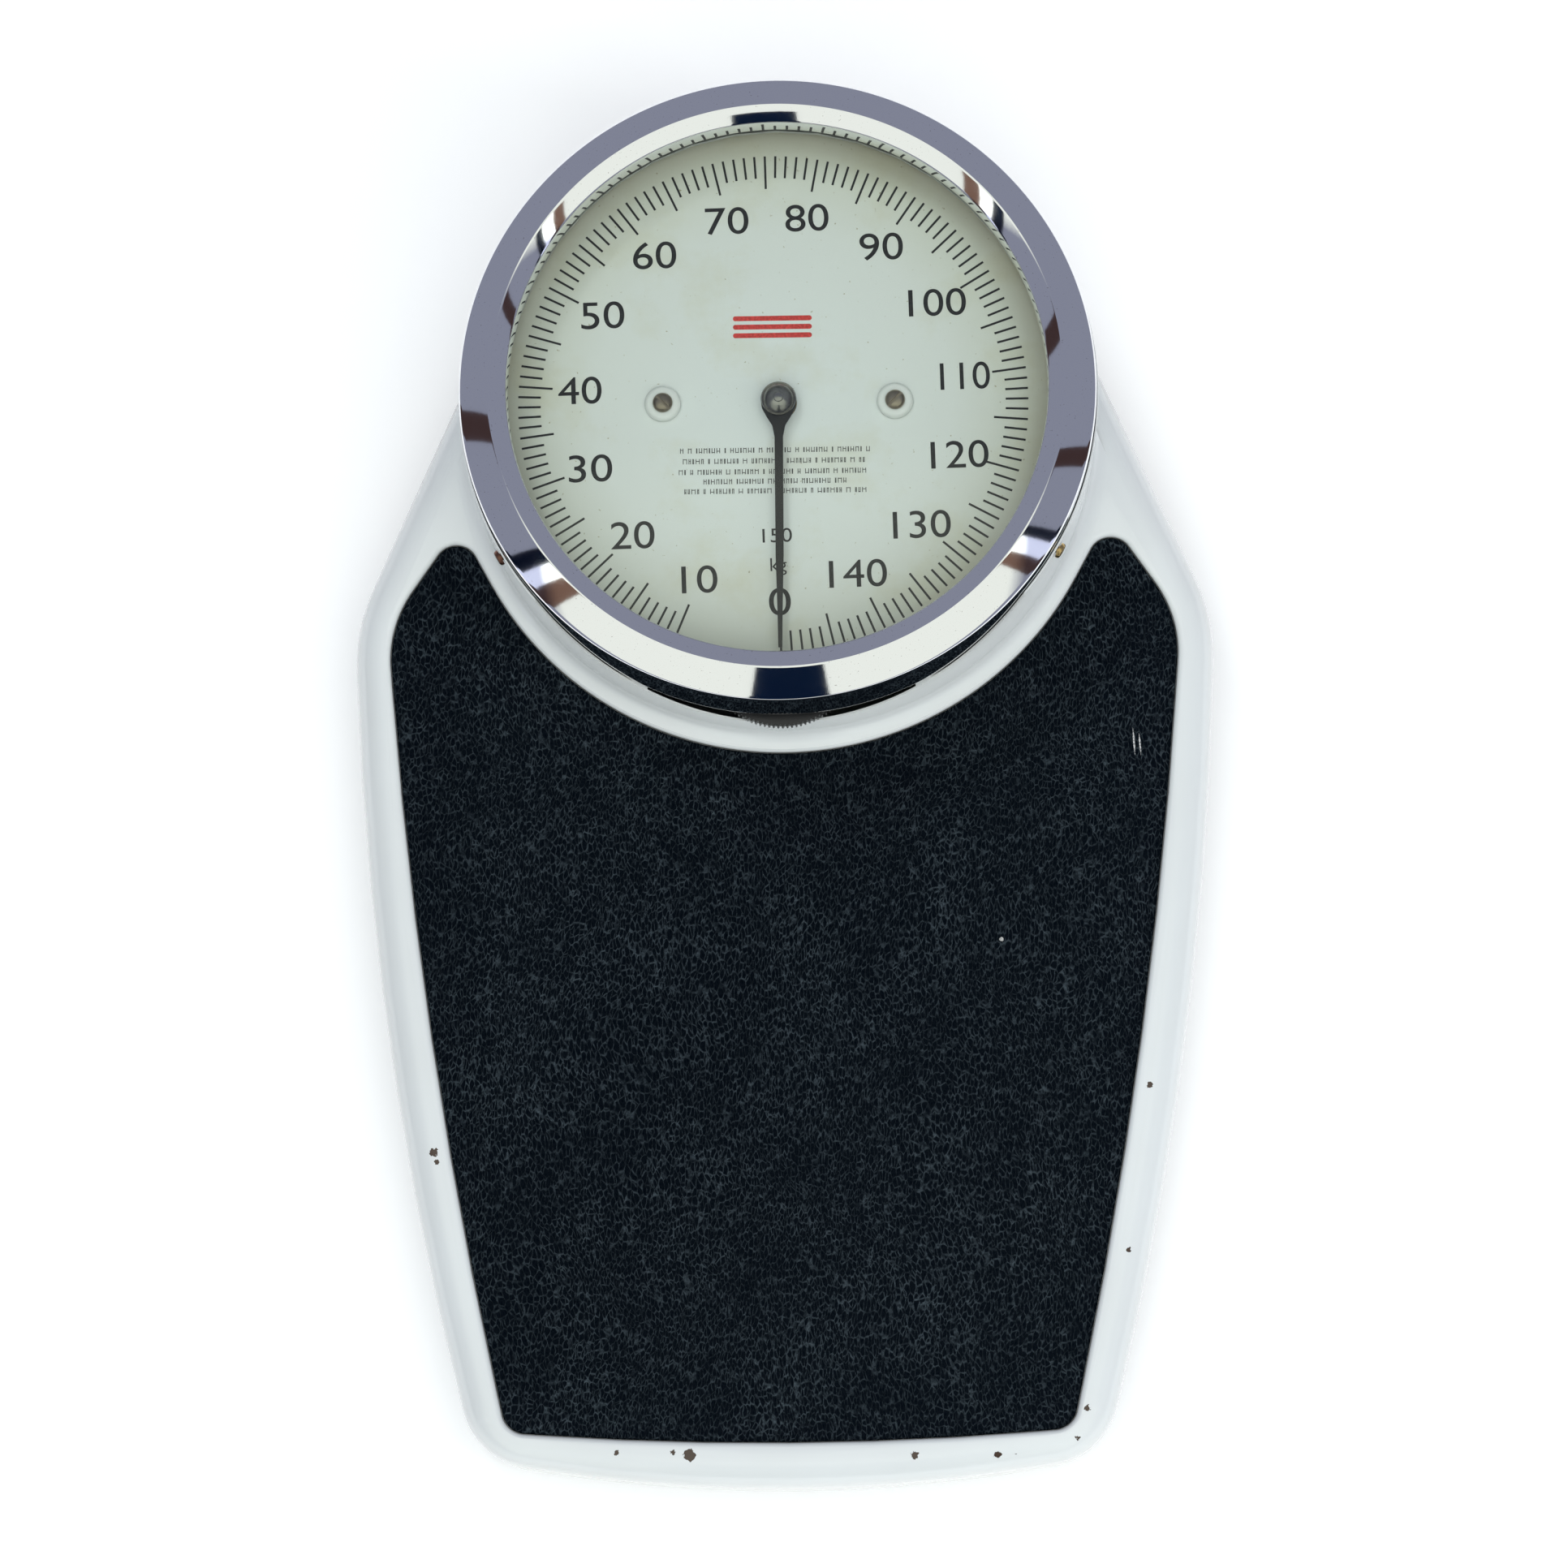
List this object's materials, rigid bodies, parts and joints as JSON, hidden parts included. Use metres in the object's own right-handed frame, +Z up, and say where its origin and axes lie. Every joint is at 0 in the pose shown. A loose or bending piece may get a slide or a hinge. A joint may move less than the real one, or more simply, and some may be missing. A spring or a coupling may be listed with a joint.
{
  "type": "floor_scale",
  "caption": "Mechanical dial floor scale with a white enamelled platform, black leatherette mat and a large chrome-rimmed round dial",
  "frame": {"origin": "on the floor under the middle of the scale", "axes": "+Z up, +Y towards the dial end, -Y towards the heel end, X across"},
  "size_m": [0.319, 0.5091, 0.1198],
  "materials": {
    "enamel": "gloss white enamel",
    "chrome": "mirror chrome plate",
    "leatherette": "black grained leatherette",
    "glass": "clear",
    "dial_print": "printed satin paint",
    "black_paint": "satin black",
    "black_plastic": "moulded",
    "white_plastic": "moulded",
    "rubber": "moulded",
    "zinc": "zinc plated",
    "steel": "bright",
    "brass": "machined",
    "grey_paint": "primer grey"
  },
  "bodies": {
    "base": {"dial_plate": "dial_print", "dial_bushing_left": "white_plastic", "dial_bushing_right": "white_plastic", "dial_screw_left": "steel", "dial_screw_right": "steel", "dial_pillar_left": "zinc", "dial_pillar_right": "zinc", "base_tray": "grey_paint", "foot_heel_left": "rubber", "foot_screw_heel_left": "zinc", "fulcrum_bracket_heel_left": "zinc", "foot_heel_right": "rubber", "foot_screw_heel_right": "zinc", "fulcrum_bracket_heel_right": "zinc", "foot_dial_left": "rubber", "foot_screw_dial_left": "zinc", "fulcrum_bracket_dial_left": "zinc", "foot_dial_right": "rubber", "foot_screw_dial_right": "zinc", "fulcrum_bracket_dial_right": "zinc", "main_spring": "steel", "spring_bridge": "zinc", "crank_bracket": "zinc", "crank_pin": "steel", "rack_guide": "white_plastic", "mechanism_bracket": "zinc", "lower_bearing": "brass", "upper_bearing_strap": "brass", "dust_shroud": "black_paint"},
    "platform": {"glass_ledge": "zinc", "platform_casing": "enamel", "tread_mat": "leatherette", "bezel": "chrome", "dial_glass": "glass", "glass_gasket": "rubber", "bezel_screw_top": "brass", "bezel_screw_left": "brass", "bezel_screw_right": "brass", "load_post_heel_left": "steel", "load_post_heel_right": "steel", "load_post_dial_left": "steel", "load_post_dial_right": "steel"},
    "long_lever": {"long_lever": "grey_paint"},
    "short_lever": {"short_lever": "grey_paint"},
    "spring_yoke": {"spring_yoke": "zinc"},
    "bell_crank": {"bell_crank": "brass"},
    "rack": {"rack": "brass"},
    "pointer": {"pointer_shaft": "steel", "pinion": "brass", "pointer": "black_paint", "hub_cap": "chrome"},
    "zero_wheel": {"zero_wheel": "black_plastic"},
    "zero_screw": {"zero_screw": "steel"}
  },
  "joints": [
    {"name": "platform_travel", "type": "slide", "parent": "base", "child": "platform", "axis": [0, 0, 1], "range_m": [-0.00127, 0], "stiffness_N_per_m": 1160000},
    {"name": "long_lever_pivot", "type": "hinge", "parent": "base", "child": "long_lever", "pos_m": [0, -0.204, 0.0265], "axis": [1, 0, 0], "range_deg": [-2.3, 0]},
    {"name": "short_lever_pivot", "type": "hinge", "parent": "base", "child": "short_lever", "pos_m": [0, 0.097, 0.036], "axis": [1, 0, 0], "range_deg": [0, 2.3]},
    {"name": "spring_yoke_travel", "type": "slide", "parent": "base", "child": "spring_yoke", "axis": [0, 0, 1], "range_m": [-0.01012, 0], "deforming": ["main_spring"]},
    {"name": "bell_crank_pivot", "type": "hinge", "parent": "base", "child": "bell_crank", "pos_m": [0.01, 0.072, 0.042], "axis": [1, 0, 0], "range_deg": [0, 26.97]},
    {"name": "rack_travel", "type": "slide", "parent": "base", "child": "rack", "axis": [0, 1, 0], "range_m": [-0.01271, 0]},
    {"name": "pointer_turn", "type": "hinge", "parent": "base", "child": "pointer", "pos_m": [0, 0.137, 0], "axis": [0, 0, 1], "range_deg": [-363.6, 0]},
    {"name": "zero_wheel_turn", "type": "hinge", "parent": "base", "child": "zero_wheel", "pos_m": [0, 0.0485, 0], "axis": [0, 0, 1], "range_deg": [-540, 540]},
    {"name": "zero_screw_travel", "type": "slide", "parent": "base", "child": "zero_screw", "axis": [0, 0, 1], "range_m": [-0.0016, 0.0016]}
  ],
  "couplings": [
    {"joint": "long_lever_pivot", "follows": "platform_travel", "rad_per_m": 31.25},
    {"joint": "short_lever_pivot", "follows": "platform_travel", "rad_per_m": -31.25},
    {"joint": "spring_yoke_travel", "follows": "platform_travel", "ratio": 7.8906},
    {"joint": "bell_crank_pivot", "follows": "platform_travel", "rad_per_m": -367.01},
    {"joint": "rack_travel", "follows": "platform_travel", "ratio": 9.9092},
    {"joint": "pointer_turn", "follows": "platform_travel", "rad_per_m": 4947.4},
    {"joint": "zero_screw_travel", "follows": "zero_wheel_turn", "m_per_rad": 0.00015915}
  ]
}
